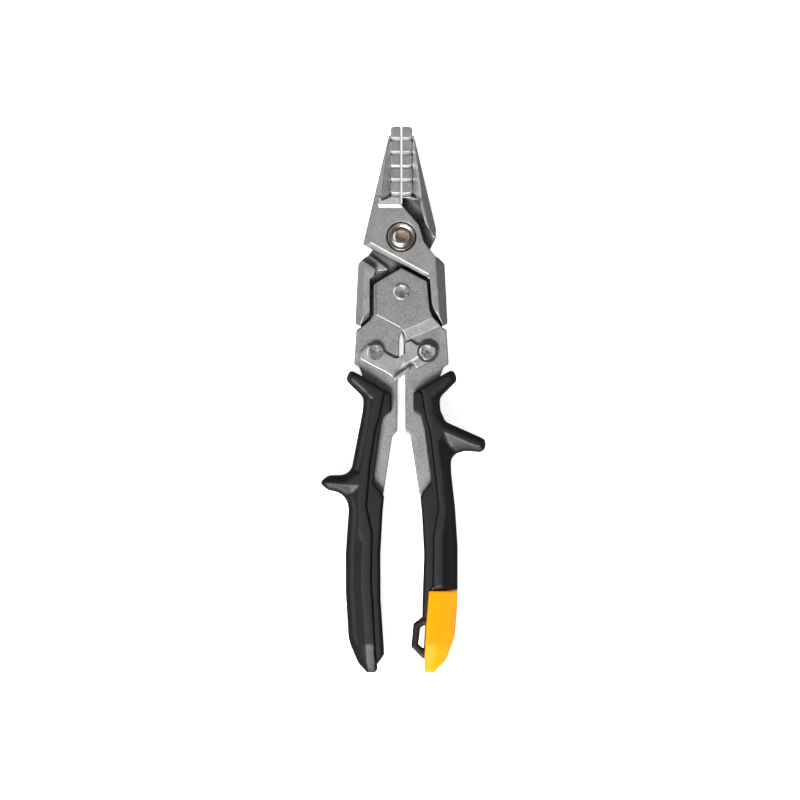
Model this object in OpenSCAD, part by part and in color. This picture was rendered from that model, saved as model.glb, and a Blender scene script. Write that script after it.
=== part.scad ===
// Compound-action hand tool with ribbed gripping jaws, built like aviation snips.
// X points right, Y runs up the tool towards the tips, Z points out of the front face.
// The tool lies on its back on Z = 0, closed. All outlines are drawn from the centre line
// of the linkage, as [x, y, corner radius], and moved by mech_x at the end.

/* [Linkage] */
// Height of the jaw pivot above mid-length
pivot_y = 75.9; // [75.5:0.1:76.3]
// Height of the handle pivot above mid-length
hub_y = 50.4; // [50.1:0.1:50.7]
// Height of the two link rivets above mid-length
link_y = 22.3; // [22.1:0.1:22.5]
// Distance of each link rivet from the centre line
link_x = 12.2; // [12:0.1:12.4]

/* [Jaws] */
// See-through gap left between the closed jaws
jaw_gap = 0.8; // [0.7:0.1:1.4]
// Thickness of a jaw at the pivot
jaw_t = 14; // [13.6:0.1:14.2]
// How far the nose faces stand above the pivot face
nose_rise = 0.8; // [0.4:0.1:1]
// Width of a gripping land
land_w = 4.6; // [4.4:0.1:4.8]
// Spacing of the grooves along the nose
land_pitch = 6.4; // [6.2:0.1:6.5]
// Depth of a groove
groove_depth = 1.2; // [0.8:0.1:1.4]
// Number of grooves along a jaw
grooves = 5; // [3:1:5]
// Running gap between the two lapped halves of the jaws
lap_gap = 0.1; // [0.06:0.02:0.2]

/* [Handle plates] */
// Thickness of a stamped handle plate
plate_t = 2.2; // [2:0.1:2.2]
// Thickness of the jaw tang between the plates
tang_t = 3.2; // [3:0.1:3.2]
// Running gap between sliding faces
slide_gap = 0.1; // [0.06:0.02:0.14]

/* [Fasteners] */
// Radius of the bush that the jaws turn on
bush_r = 5; // [4.6:0.1:5.2]
// Radius of the pivot bolt
bolt_r = 3; // [2.8:0.1:3.1]
// Radius of the bolt head
head_r = 3.7; // [3.6:0.1:3.9]
// Hex key size of the bolt
key_af = 5; // [4:0.1:5]
// Radius of the polished pivot washer
washer_r = 6.5; // [6.2:0.1:6.6]
// Radius of a rivet shank
rivet_r = 2.8; // [2.6:0.1:2.9]
// Radius of a rivet head
rivet_head_r = 3.85; // [3.7:0.05:4]
// Clearance round the handle rivet in the right-hand plates, which the linkage needs
hub_slack = 0.35; // [0.3:0.05:0.45]

/* [Grips] */
// Overall thickness of the grips
grip_t = 22; // [21:0.5:22]
// How far the grip core lies below the face of the grip
core_drop = 1.5; // [1:0.1:2]

/* [Hidden] */
$fn = 64;
mech_x = -0.95;
mid_z = grip_t / 2;
run = 0.05;
face_z = mid_z + jaw_t / 2;
nose_z = face_z + nose_rise;
lap_z = mid_z + lap_gap / 2;
inner_z = mid_z + tang_t / 2 + slide_gap;
outer_z = inner_z + plate_t + slide_gap;
inner_top = inner_z + plate_t;
outer_top = outer_z + plate_t;
latch_t = 1.6;
latch_z = inner_top + slide_gap;
latch_top = latch_z + latch_t;
tip_y = 127;
steel = [0.60, 0.59, 0.58];
bright = [0.82, 0.80, 0.77];
charcoal = [0.17, 0.17, 0.17];
black = [0.09, 0.09, 0.09];
yellow = [1.0, 0.75, 0.05];

// ---- drawing helpers ----

function unit(v) = v / norm(v);
function turned(v, a) = [v.x * cos(a) - v.y * sin(a), v.x * sin(a) + v.y * cos(a)];
function flat(p) = [p.x, p.y];

// the arc that replaces corner b between a and c
function corner_arc(a, b, c, r, steps = 5) =
    let (u = unit(a - b), w = unit(c - b), half = acos(u * w) / 2)
    let (centre = b + unit(u + w) * r / sin(half))
    let (from = b + u * r / tan(half) - centre, to = b + w * r / tan(half) - centre)
    let (sweep = sign(cross(from, to)) * acos(from * to / (r * r)))
    [for (i = [0 : steps]) centre + turned(from, sweep * i / steps)];

// an outline whose corners are rounded to their third number
function rounded(p) =
    let (n = len(p))
    [for (i = [0 : n - 1]) each
        p[i][2] == 0
            ? [flat(p[i])]
            : corner_arc(flat(p[(i + n - 1) % n]), flat(p[i]), flat(p[(i + 1) % n]), p[i][2])];

module slab(outline, z0, z1) {
    translate([0, 0, z0]) linear_extrude(z1 - z0) polygon(rounded(outline));
}

module drum(x, y, r, z0, z1) {
    translate([x, y, z0]) cylinder(r = r, h = z1 - z0);
}

// what lies left of the line from p to q, above a face that drops away from it
module bevel(p, q, z, slope, before = 20, after = 20) {
    reach = 40;
    run_dir = atan2(q.y - p.y, q.x - p.x);
    translate([p.x, p.y, z])
        rotate([0, 0, run_dir])
        rotate([-slope, 0, 0])
        translate([-before, 0, 0])
        cube([norm(q - p) + before + after, reach, reach]);
}

// the other face of a piece, seen through the tool
module through() {
    translate([0, 0, 2 * mid_z]) mirror([0, 0, 1]) children();
}

module both_faces() {
    children();
    through() children();
}

// a half turn about the centre line makes a front piece into its back twin
module turned_over() {
    translate([0, 0, 2 * mid_z]) rotate([0, 180, 0]) children();
}

module flip_x() {
    mirror([1, 0, 0]) children();
}

// ---- jaws: one forging, used twice ----

nose_x = -jaw_gap / 2;
land_x = nose_x - land_w;
flank_tip = [-5.7, 122.6];
flank_heel = [-9.4, 95];

pivot_half = [
    [nose_x, tip_y, 0.6], [nose_x, 91.4, 0], [8.1, 81.5, 2], [9.1, 78.4, 2], [10.6, 73.4, 2],
    [15.9, 66.6, 2], [19.5, 62.9, 1.5], [21.4, 35.4, 0.8], [19.6, 34.4, 0.6],
    [15.5, 41.4, 2], [14.1, 45, 3], [13.3, 56.2, 0.6], [-17.9, 72.4, 0.5], [-5.9, 122.6, 0],
    [land_x, 122.9, 0], [land_x, tip_y, 1.6]];

nose_half = [
    [nose_x, tip_y, 0.6], [nose_x, 94, 0], [-8.4, 93.4, 1.2], [-9.1, 89.3, 2], [-10.9, 82.3, 2],
    [-15, 76.4, 0.6], [-16.9, 75.8, 0.6], [-5.9, 122.6, 0],
    [land_x, 122.9, 0], [land_x, tip_y, 1.6]];

tail_half = [
    [20.1, 63, 0.8], [18.2, 65, 0.6], [11.7, 60.6, 0.8], [13, 57.2, 1], [14.6, 56.4, 0.6],
    [14.7, 39.2, 2], [19.3, 34.4, 0.6], [21.5, 35.4, 0.8]];

tail_ledge = [[20, 63.4, 0], [17.2, 66.2, 0], [14.6, 67.4, 0], [5.4, 60.5, 0.4], [12, 59.6, 0]];

// a thin shelf that runs in behind the handle plates
shelf = [[-1, 66, 0], [-1, 60.6, 2], [11, 53, 2], [17, 49, 0], [17, 60, 0]];

tang = [
    [16.5, 55, 0], [11.5, 50, 3], [7.6, 41, 6], [6.3, 23, 0],
    [18.1, 23, 0], [19, 36, 0]];

flank = [
    [land_x, 123, 0], [land_x, 94.4, 0], [-10.9, 92.2, 0], [-12, 95, 0], [-7, 124, 0]];

module nose_cuts() {
    // recessed flank beside the lands
    intersection() {
        slab(flank, mid_z, mid_z + 20);
        bevel(flank_tip, flank_heel, nose_z, 34);
    }
    // outer facet of the nose
    bevel([-9.6, 94.5], [-6.1, 121.5], nose_z, 48, 0, 20);
    // grooves: a slope that faces the heel and a steep wall that faces the tip
    for (i = [0 : grooves - 1]) {
        groove_y = 121.9 - i * land_pitch;
        groove_end = min(flank_tip.x, flank_tip.x - (flank_tip.y - groove_y) * 0.1);
        translate([0, groove_y, nose_z])
            rotate([90, 0, 90])
            translate([0, 0, groove_end])
            linear_extrude(-groove_end)
            polygon([[0, 0.01], [-1.2, -groove_depth], [-1.35, 0.01]]);
        // the outer corners of the lands are cut back beside each groove
        translate([land_x, groove_y - 0.65, nose_z])
            rotate([0, 0, 45])
            cube([1.7, 1.7, 2 * groove_depth], center = true);
    }
}

module pivot_face_cuts() {
    // the pivot face lies below the nose, down a ramp and a chamfer
    translate([-40, 0, 0])
        rotate([90, 0, 90])
        linear_extrude(80)
        polygon([
            [94.2, nose_z + 0.01], [90.8, nose_z - 0.25], [89.5, face_z],
            [0, face_z], [0, nose_z + 5], [94.2, nose_z + 5]]);
    // outer facet beside the pivot
    bevel([-14.2, 74.8], [-9.6, 94.5], face_z, 50, 6, 0);
    // lower bevel
    bevel([12.9, 58.3], [-14.6, 73.3], face_z, 44, 0, 20);
    // outer facet and end chamfer of the tail
    bevel([15.8, 67.2], [17.8, 40], face_z, 52);
    bevel([18.9, 37.4], [15.4, 41.7], face_z, 45, 8, 3);
}

module tail_lap_cuts() {
    bevel([17, 64], [17.8, 40], face_z, 52, 4, 20);
    bevel([18.9, 37.4], [14.9, 41], face_z, 45, 8, 3);
}

module jaw_halves() {
    difference() {
        slab(pivot_half, lap_z, nose_z);
        pivot_face_cuts();
    }
    difference() {
        slab(nose_half, 2 * mid_z - nose_z, lap_z);
        through() bevel([-15.4, 70], [-9.6, 94.5], nose_z, 48, 6, 0);
    }
    difference() {
        slab(tail_half, mid_z - jaw_t / 2, lap_z);
        through() tail_lap_cuts();
    }
}

module jaw() {
    difference() {
        union() {
            jaw_halves();
            slab(tail_ledge, mid_z - 2.4, lap_z);
            slab(shelf, lap_z, mid_z + tang_t / 2);
            slab(tang, mid_z - tang_t / 2, mid_z + tang_t / 2);
            drum(link_x, link_y, 6, mid_z - tang_t / 2, mid_z + tang_t / 2);
        }
        both_faces() nose_cuts();
        drum(link_x, link_y, rivet_r + run, 0, 30);
    }
}

module front_jaw() {
    color(steel) translate([mech_x, 0, 0]) difference() {
        jaw();
        drum(0, pivot_y, bush_r + run, 0, 30);
        drum(0, pivot_y, washer_r + 0.45, face_z - 2.2, 30);
    }
}

// the corner behind the rear jaw's pivot is trimmed off
rear_trim = [[-16.1, 83, 0], [-16.1, 75.6, 1.5], [-13.4, 70.2, 0], [-22, 66, 0], [-22, 83, 0]];

module rear_jaw() {
    color(steel) translate([mech_x, 0, 0]) turned_over() difference() {
        jaw();
        slab(rear_trim, 0, 30);
        drum(0, pivot_y, bush_r, 0, 30);
    }
}

// ---- jaw pivot ----

bush_back = mid_z - jaw_t / 2 + run;
seat_z = face_z - 2.2 + run;

module on_pivot() {
    translate([mech_x, pivot_y, 0]) children();
}

module pivot_bush() {
    color(bright) on_pivot() difference() {
        drum(0, 0, bush_r, bush_back, seat_z);
        drum(0, 0, bolt_r, 0, 30);
    }
}

module pivot_washer() {
    color(bright) on_pivot() rotate_extrude($fn = 96) polygon([
        [bolt_r, seat_z], [washer_r, seat_z], [washer_r, seat_z + 1.7],
        [washer_r - 0.5, seat_z + 2.1], [washer_r - 1.1, seat_z + 2], [head_r, seat_z + 1.2],
        [bolt_r, seat_z + 1.2]]);
}

module pivot_bolt() {
    head_z = seat_z + 1.2;
    color(bright) on_pivot() difference() {
        rotate_extrude($fn = 96) polygon([
            [0, 0.4], [bolt_r - 0.4, 0.4], [bolt_r, 0.8], [bolt_r, head_z], [head_r, head_z],
            [head_r, head_z + 1.5], [head_r - 0.5, head_z + 2], [0, head_z + 2]]);
        translate([0, 0, head_z - 1])
            cylinder(r = key_af / sqrt(3), h = 10, $fn = 6);
    }
}

module pivot_back_washer() {
    color(bright) on_pivot() difference() {
        drum(0, 0, washer_r, 3, mid_z - jaw_t / 2);
        drum(0, 0, bolt_r, 0, 30);
    }
}

module pivot_nut() {
    color(bright) on_pivot() difference() {
        cylinder(r = 10 / sqrt(3), h = 3, $fn = 6);
        drum(0, 0, bolt_r, -1, 4);
    }
}

// ---- handle plates: two stampings, each used twice ----

// the flat stamping, as the front plate of the left handle
flat_plate_outline = [
    [-13, 39.9, 2], [-13, 53.8, 0.5], [-0.4, 60.8, 1.5], [9.5, 53, 3], [9.5, 43, 4],
    [0.6, 33.6, 2], [-1, 28, 4], [-1, 19.9, 0], [-1.8, 7.3, 0], [-1.8, -14.6, 3],
    [-4.3, -17, 3], [-8.4, -44, 0], [-12.4, -48, 2], [-13, -100, 2], [-17.5, -100, 2],
    [-17.5, -40, 4],
    [-15, -12, 8], [-15.5, 2, 4], [-18.6, 12.4, 0.5], [-19.6, 15, 1], [-21.9, 16.6, 0.6],
    [-21, 32.2, 0.6], [-19, 33.5, 1], [-14.5, 37.4, 3]];

// the joggled stamping, as the front plate of the right handle
joggled_plate_outline = [
    [-11.7, 39.5, 0.4], [-11.7, 54.6, 0.4], [0, 61.4, 0.4], [11.9, 55.1, 0.4],
    [13.1, 42, 3], [14.6, 38.6, 4], [18.8, 33.9, 2], [21, 32.5, 0.6], [22, 17, 0.6],
    [19.6, 15, 1], [18.6, 12.4, 0.5], [15.5, 2, 4], [15, -12, 8], [17.5, -40, 4],
    [17.5, -100, 2], [13, -100, 2], [12.4, -48, 2], [8.4, -44, 0], [4.4, -16.8, 3],
    [2.2, -14.4, 3],
    [1.8, 7.3, 0], [1.6, 19.9, 0], [2.5, 26.4, 3], [1.2, 31.4, 5], [-1, 33.8, 3]];

// distances of the two bend lines from the handle pivot, and their direction
joggle_turn = 23.6;
joggle_high = 17;
joggle_low = 21.7;

module joggle_side(profile) {
    translate([0, hub_y, 0])
        rotate([0, 0, joggle_turn])
        translate([-60, 0, 0])
        rotate([90, 0, 90])
        linear_extrude(120)
        polygon(profile);
}

module flat_plate(hub_hole) {
    difference() {
        slab(flat_plate_outline, inner_z, inner_top);
        drum(0, hub_y, hub_hole, 0, 30);
        drum(-link_x, link_y, rivet_r, 0, 30);
    }
}

module joggled_plate(hub_hole) {
    far = 300;
    difference() {
        intersection() {
            slab(joggled_plate_outline, inner_z, outer_top);
            joggle_side([
                [60, outer_z], [-joggle_high, outer_z], [-joggle_low, inner_z], [-far, inner_z],
                [-far, inner_top], [-joggle_low, inner_top], [-joggle_high, outer_top],
                [60, outer_top]]);
        }
        drum(0, hub_y, hub_hole, 0, 30);
        drum(link_x, link_y, rivet_r, 0, 30);
    }
}

module left_handle_front_plate() {
    color(steel) translate([mech_x, 0, 0]) flat_plate(rivet_r);
}

module left_handle_back_plate() {
    color(steel) translate([mech_x, 0, 0]) turned_over() joggled_plate(rivet_r);
}

module right_handle_front_plate() {
    color(steel) translate([mech_x, 0, 0]) joggled_plate(rivet_r + hub_slack);
}

module right_handle_back_plate() {
    color(steel) translate([mech_x, 0, 0]) turned_over() flat_plate(rivet_r + hub_slack);
}

// ---- rivets and washers of the linkage ----

// half of a headed pin, with a dished head from z up
module rivet_head(z, h, r = rivet_head_r) {
    rotate_extrude() polygon([
        [0, z], [r - 0.3, z], [r, z + 0.3], [r, z + h - 0.5], [r - 0.5, z + h],
        [r - 1.1, z + h], [r - 1.5, z + h - 0.3], [0, z + h - 0.4]]);
}

module through_at(x, y) {
    translate([x, y, 0]) children();
}

module left_link_rivet() {
    color(bright) translate([mech_x, 0, 0]) through_at(-link_x, link_y) {
        drum(0, 0, rivet_r, mid_z - (inner_top - mid_z), latch_top + 0.35);
        rivet_head(latch_top + 0.35, 1.5);
        through() rivet_head(inner_top, 1.2);
    }
}

module right_link_rivet() {
    color(bright) translate([mech_x, 0, 0]) through_at(link_x, link_y) {
        drum(0, 0, rivet_r, mid_z - (inner_top - mid_z), latch_top + 0.6);
        drum(0, 0, rivet_r + 0.5, inner_top, latch_top + slide_gap);
        rivet_head(latch_top + 0.6, 1.5);
        through() rivet_head(inner_top, 1.2);
    }
}

module centre_rivet() {
    color(bright) translate([mech_x, 0, 0]) through_at(0, hub_y) {
        drum(0, 0, rivet_r, mid_z - (outer_top - mid_z), outer_top);
        rivet_head(outer_top + run, 0.9);
        drum(0, 0, rivet_r, outer_top - 0.1, outer_top + 0.1);
        through() rivet_head(outer_top, 0.9);
    }
}

module latch_keeper_washer() {
    color(black) translate([mech_x, 0, 0]) through_at(link_x, link_y) difference() {
        drum(0, 0, 4.9, latch_top + slide_gap, latch_top + 0.6);
        drum(0, 0, rivet_r, 0, 30);
    }
}

module latch_wave_washer() {
    color(bright) translate([mech_x, 0, 0]) through_at(-link_x, link_y) difference() {
        drum(0, 0, 3.6, latch_top + run, latch_top + 0.35);
        drum(0, 0, rivet_r, 0, 30);
    }
}

// ---- latch ----

latch_outline = [
    [-15.7, 25.6, 0.8], [-19.1, 22, 1], [-19.1, 19.2, 1.2], [-17.4, 18, 0.6], [-5.8, 12, 1],
    [-4.2, 10.4, 0.5], [-3, 8.8, 0], [4.2, 14, 0], [4, 16.2, 0.3], [5.6, 17.2, 0.5], [7, 14.7, 0.6],
    [13, 18, 0.5], [12.4, 20.2, 0], [9, 22, 0], [10.2, 26.7, 0.3], [9, 26.4, 0.4], [7.2, 25.4, 0.6],
    [4.4, 27.6, 0.8], [1.7, 26.4, 0.5], [1.7, 21.7, 1], [-1, 19.9, 0.8], [-2.6, 19.3, 0.8],
    [-7, 21.6, 1], [-12, 25.8, 0]];

hook_slack = 0.95;
hook_path = [[7, link_y, 0], [18, link_y, 0], [18, 36, 0], [7, 36, 0]];

module latch_plate() {
    color(bright) translate([mech_x, 0, 0]) difference() {
        union() {
            slab(latch_outline, latch_z, latch_top);
            // thumb tab, bent up along the lower edge
            translate([-3, 8.8, latch_z])
                rotate([0, 0, atan2(5.2, 7.2)])
                cube([norm([7.2, 5.2]), latch_t, 6.4]);
        }
        drum(-link_x, link_y, rivet_r + run, 0, 30);
        drum(link_x, link_y, rivet_r + hook_slack, 0, 30);
        // the path of the other rivet as the latch swings open
        difference() {
            slab(hook_path, latch_z - 1, latch_top + 1);
            drum(-link_x, link_y, 2 * link_x - rivet_r - hook_slack, 0, 30);
        }
        // ribs for the thumb
        for (i = [0 : 5])
            translate([-3, 8.8, latch_top + 1 + i * 0.65])
                rotate([0, 0, atan2(5.2, 7.2)])
                translate([-1, -0.01, 0])
                cube([11, 0.3, 0.3]);
    }
}

// ---- return spring, round the handle pivot between the plates ----

wire_r = 0.6;
coil_r = 4.4;

module spring_ring(z) {
    translate([0, 0, z])
        rotate_extrude()
        translate([coil_r, 0])
        circle(r = wire_r, $fn = 20);
}

module spring_leg(z, side) {
    leg_from = [side * coil_r, -1];
    leg_to = [side * (link_x - 6.9), link_y + 6 - hub_y];
    lean = atan2(leg_to.y - leg_from.y, leg_to.x - leg_from.x);
    translate([leg_from.x, leg_from.y, z])
        rotate([0, 0, lean])
        rotate([0, 90, 0])
        cylinder(r = wire_r, h = norm(leg_to - leg_from), $fn = 20);
}

module return_spring() {
    color(bright) translate([mech_x, 0, 0]) through_at(0, hub_y) {
        spring_ring(mid_z - 0.9);
        spring_ring(mid_z + 0.9);
        // the turn that joins the two rings
        translate([-coil_r, 0, mid_z - 0.9])
            cylinder(r = wire_r, h = 1.8, $fn = 20);
        spring_leg(mid_z - 0.9, -1);
        spring_leg(mid_z + 0.9, 1);
    }
}

// ---- grips ----

left_grip_outline = [
    [-7.4, 4, 0.5], [-19.2, 11.6, 0.3], [-23.9, 14, 1.8], [-26, 9.2, 3], [-17.6, 1, 5],
    [-18, -5, 8], [-22.2, -27, 10], [-23.6, -35, 6], [-34, -35.2, 5], [-38.4, -38.6, 1.6],
    [-34, -42, 4], [-25, -44, 8], [-24.6, -52, 10], [-26, -72, 40], [-25.9, -90, 60],
    [-24.6, -112, 20], [-20.2, -122.5, 8], [-16, -127, 1], [-11, -127, 2], [-11.8, -117, 0], [-12.5, -104.7, 0],
    [-13.8, -83, 40], [-13.3, -62, 10], [-16, -49.5, 4], [-14.7, -34.9, 0], [-14.3, -30, 20],
    [-11.8, -14, 0], [-9.6, -7, 10]];

left_core_outline = [
    [-7.4, 4, 0], [-4.9, 3.2, 0.5], [-4.6, -5.2, 1.5], [-8.8, -8.4, 1], [-9.9, -14, 0],
    [-13.3, -38.8, 0.5], [-8, -45, 0.6], [-8.7, -52, 8], [-9.8, -72, 40], [-9.7, -93, 20],
    [-8, -118.5, 0.8], [-11.2, -123, 0], [-16, -123, 2], [-18.5, -100, 0],
    [-18.8, -40, 0], [-16.2, -12, 0], [-16.2, 0, 2]];

right_grip_outline = [
    [8, 4.6, 0.5], [19.4, 11.7, 0.3], [24, 14.2, 1.8], [26.2, 9.2, 3], [17.8, 1, 5],
    [18.2, -5, 8], [20.6, -10.2, 4], [39.2, -18.5, 1.6], [39, -24.6, 2.4], [29.8, -23.8, 5],
    [23, -25.6, 5], [23.2, -34, 20], [25, -50, 40], [26.2, -68, 20], [26.2, -88.6, 0],
    [12.9, -88.6, 0], [14.5, -86.5, 2], [14.8, -62.7, 10], [17.1, -49.5, 3],
    [15.1, -30.4, 20], [13, -14, 10], [11.2, -8.5, 10], [9.2, 3.4, 0.5]];

right_core_outline = [
    [9.2, 3.4, 0], [8, 4.6, 0.3], [5.6, 3, 0.6], [5.7, -5.2, 1.5], [9.3, -7.8, 1], [10.8, -14, 0],
    [14, -38.4, 0.5], [10.4, -42.6, 0.6], [8.8, -45, 0.6], [9.5, -52, 8], [10.6, -72, 40],
    [10, -90, 20], [9.8, -101.3, 0], [5.6, -104.4, 1], [4.6, -115, 1.2], [9.8, -120.4, 0.5],
    [14, -121, 0], [17, -112, 0], [18.6, -100, 0], [18.8, -40, 0], [16.2, -12, 0], [16.2, 0, 2]];

loop_hole = [[11.4, -104.4, 0.6], [8.6, -106.2, 0.8], [7.7, -113.9, 0.8], [10.6, -116.3, 0.6]];

right_cap_outline = [
    [12.9, -88.9, 0.4], [26.2, -88.9, 0.6], [26, -96, 0], [25, -110, 20], [20.8, -121.4, 8],
    [15.2, -127, 1], [10.8, -126.9, 0.6], [10.7, -120.8, 0], [11.6, -104.7, 10]];

// the grip ends in a spigot that the end cap is pushed onto
cap_spigot = [[15, -87, 0], [25.3, -87, 0], [25.3, -93, 0.5], [15, -93, 0.5]];

module spigot() {
    difference() {
        slab(cap_spigot, 1, grip_t - 1);
        both_faces() flip_x() bevel([-15.6, -127], [-17.4, -70], grip_t - 1, 40);
    }
}

module plates_at(side) {
    if (side < 0) {
        slab(flat_plate_outline, inner_z, inner_top);
        through() flip_x() slab(joggled_plate_outline, inner_z, inner_top);
    } else {
        slab(joggled_plate_outline, inner_z, inner_top);
        through() flip_x() slab(flat_plate_outline, inner_z, inner_top);
    }
}

rib = 6;

// the core fills the open side of the grip, and a rib of it lies inside the grip
module core_blank(core, grip) {
    difference() {
        slab(core, core_drop, grip_t - core_drop);
        difference() {
            slab(grip, -1, grip_t + 1);
            slab(grip, mid_z - rib, mid_z + rib);
        }
    }
}

module left_grip_core() {
    color(black) translate([mech_x, 0, 0]) difference() {
        core_blank(left_core_outline, left_grip_outline);
        plates_at(-1);
    }
}

module right_grip_core() {
    color(black) translate([mech_x, 0, 0]) difference() {
        core_blank(right_core_outline, right_grip_outline);
        difference() {
            union() {
                slab(right_cap_outline, -1, grip_t + 1);
                slab(cap_spigot, -1, grip_t + 1);
            }
            slab(right_core_outline, mid_z - rib, mid_z + rib);
        }
        // the hanging loop is thinner than the grip
        both_faces() translate([0, -122, mid_z + 4.5]) cube([10, 21, 20]);
        slab(loop_hole, -1, 30);
        plates_at(1);
    }
}

// the outer facets of the left grip, below its middle horn
module grip_facets() {
    both_faces() {
        bevel([-15.6, -127], [-17.4, -98], grip_t, 40);
        bevel([-17.4, -98], [-18.8, -70], grip_t, 40);
        bevel([-18.8, -70], [-19.6, -48], grip_t, 40, 20, 2);
    }
}

module left_grip() {
    color(charcoal) translate([mech_x, 0, 0]) difference() {
        slab(left_grip_outline, 0, grip_t);
        slab(left_core_outline, mid_z - rib, mid_z + rib);
        plates_at(-1);
        grip_facets();
    }
}

module right_grip() {
    color(charcoal) translate([mech_x, 0, 0]) difference() {
        union() {
            difference() {
                slab(right_grip_outline, 0, grip_t);
                flip_x() grip_facets();
            }
            spigot();
        }
        slab(right_core_outline, mid_z - rib, mid_z + rib);
        plates_at(1);
    }
}

module right_end_cap() {
    color(yellow) translate([mech_x, 0, 0]) difference() {
        slab(right_cap_outline, 0, grip_t);
        slab(right_core_outline, mid_z - rib, mid_z + rib);
        spigot();
        plates_at(1);
        flip_x() grip_facets();
    }
}

front_jaw();
rear_jaw();
pivot_bush();
pivot_bolt();
pivot_washer();
pivot_back_washer();
pivot_nut();
left_handle_front_plate();
left_handle_back_plate();
right_handle_front_plate();
right_handle_back_plate();
left_link_rivet();
right_link_rivet();
centre_rivet();
latch_plate();
latch_wave_washer();
latch_keeper_washer();
return_spring();
left_grip_core();
right_grip_core();
left_grip();
right_grip();
right_end_cap();
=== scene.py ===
import math

import bpy
import numpy as np
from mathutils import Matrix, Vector, geometry


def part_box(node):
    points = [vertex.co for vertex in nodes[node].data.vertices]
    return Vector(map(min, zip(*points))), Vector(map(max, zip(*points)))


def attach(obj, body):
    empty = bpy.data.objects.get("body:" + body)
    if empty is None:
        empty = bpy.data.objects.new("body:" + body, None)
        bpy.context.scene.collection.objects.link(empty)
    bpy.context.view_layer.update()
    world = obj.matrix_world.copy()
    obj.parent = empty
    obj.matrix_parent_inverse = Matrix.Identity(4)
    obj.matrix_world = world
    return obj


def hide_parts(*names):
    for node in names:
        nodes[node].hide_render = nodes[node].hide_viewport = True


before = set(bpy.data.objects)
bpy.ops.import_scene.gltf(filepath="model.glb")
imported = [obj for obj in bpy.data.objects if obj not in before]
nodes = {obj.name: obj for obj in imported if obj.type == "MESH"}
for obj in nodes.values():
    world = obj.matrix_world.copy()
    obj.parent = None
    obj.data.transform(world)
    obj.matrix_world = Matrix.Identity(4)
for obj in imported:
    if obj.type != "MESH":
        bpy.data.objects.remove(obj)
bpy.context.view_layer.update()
scene = bpy.context.scene
MM = 0.001


def middle_of(name):
    """The middle of a node seen from above, in metres."""
    lo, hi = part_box(name)
    return (lo.x + hi.x) / 2, (lo.y + hi.y) / 2


# the outlines below are in millimetres, with x from the centre line of the linkage
AXIS_X = middle_of("centre_rivet")[0] / MM
PIVOT = middle_of("pivot_bolt")

# levels in millimetres: the grips' top and middle, the cores' top, and the top of the thin hanging loop
grip_lo, grip_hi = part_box("left_grip")
TOP = grip_hi.z / MM
MID = (grip_lo.z + grip_hi.z) / 2 / MM
CORE_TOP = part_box("left_grip_core")[1].z / MM
LOOP_TOP = MID + 4.5


# ---------------------------------------------------------------- outlines

def rounded(corners, steps=7):
    """Rounds each corner [x, y, radius, rim]; returns the points and the rim width at each."""
    pts = []
    rims = []
    n = len(corners)
    for i in range(n):
        a, b, c = (np.array(corners[(i + k - 1) % n][:2], float) for k in range(3))
        r, rim = corners[i][2], corners[i][3]
        if r <= 0:
            pts.append(b)
            rims.append(rim)
            continue
        u = (a - b) / np.linalg.norm(a - b)
        w = (c - b) / np.linalg.norm(c - b)
        half = math.acos(max(-1, min(1, float(u @ w)))) / 2
        centre = b + (u + w) / np.linalg.norm(u + w) * r / math.sin(half)
        start = b + u * r / math.tan(half) - centre
        end = b + w * r / math.tan(half) - centre
        cross = start[0] * end[1] - start[1] * end[0]
        sweep = math.copysign(math.acos(max(-1, min(1, float(start @ end) / r / r))), cross)
        for k in range(steps + 1):
            t = sweep * k / steps
            turn = np.array([[math.cos(t), -math.sin(t)], [math.sin(t), math.cos(t)]])
            pts.append(centre + turn @ start)
            rims.append(rim)
    return np.array(pts), np.array(rims)


def resample(pts, vals, step):
    """Even steps along a closed outline, kept anticlockwise."""
    area = np.sum(pts[:, 0] * np.roll(pts[:, 1], -1) - np.roll(pts[:, 0], -1) * pts[:, 1])
    if area < 0:
        pts, vals = pts[::-1], vals[::-1]
    out, out_vals = [], []
    n = len(pts)
    for i in range(n):
        a, b = pts[i], pts[(i + 1) % n]
        length = float(np.linalg.norm(b - a))
        if length < 1e-6:
            continue
        count = max(1, int(round(length / step)))
        for j in range(count):
            t = j / count
            out.append(a * (1 - t) + b * t)
            out_vals.append(vals[i] * (1 - t) + vals[(i + 1) % n] * t)
    return np.array(out), np.array(out_vals)


def stepped(outline, step):
    """Even steps along a plain outline of [x, y] points."""
    return resample(np.array(outline, float), np.zeros(len(outline)), step)[0]


def unit(v):
    return v / np.maximum(np.linalg.norm(v, axis=1, keepdims=True), 1e-9)


def inward(pts):
    """Unit normals that point into an anticlockwise outline."""
    tangent = unit(unit(np.roll(pts, -1, 0) - pts) + unit(pts - np.roll(pts, 1, 0)))
    return np.stack([-tangent[:, 1], tangent[:, 0]], 1)


def to_loop(points, loop):
    """Distance of each point from a closed loop, the nearest edge, and the place along it."""
    ab = np.roll(loop, -1, 0) - loop
    best = np.full(len(points), 1e9)
    which = np.zeros(len(points), int)
    where = np.zeros(len(points))
    for i in range(len(loop)):
        ap = points - loop[i]
        t = np.clip((ap @ ab[i]) / max(1e-12, float(ab[i] @ ab[i])), 0, 1)
        d = np.linalg.norm(ap - t[:, None] * ab[i], axis=1)
        near = d < best
        best = np.where(near, d, best)
        which = np.where(near, i, which)
        where = np.where(near, t, where)
    return best, which, where


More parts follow.
